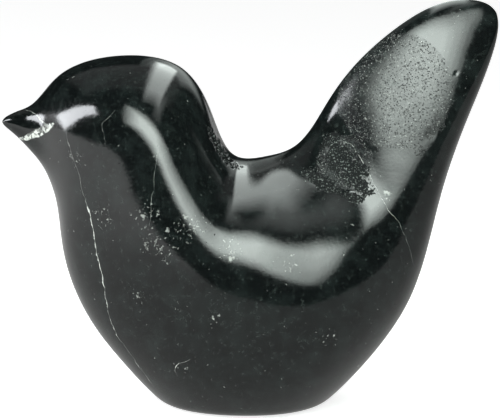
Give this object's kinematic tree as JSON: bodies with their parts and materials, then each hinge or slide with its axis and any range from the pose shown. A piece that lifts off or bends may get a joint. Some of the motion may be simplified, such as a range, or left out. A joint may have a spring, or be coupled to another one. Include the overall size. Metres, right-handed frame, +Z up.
{
  "type": "stone bird statue",
  "caption": "Small stylised bird figure of polished dark veined stone, round body, pointed beak and raised blade-shaped tail, ground flat underneath.",
  "frame": {"origin": "on the plane the figure stands on, below the middle of its length and width", "axes": "-X the way the beak points, +X towards the tail, +Y to the bird's right side, +Z up"},
  "size_m": [0.0998, 0.05, 0.083],
  "materials": {
    "polished_stone": "polished"
  },
  "bodies": {
    "root": {"stone_bird": "polished_stone"}
  },
  "joints": []
}
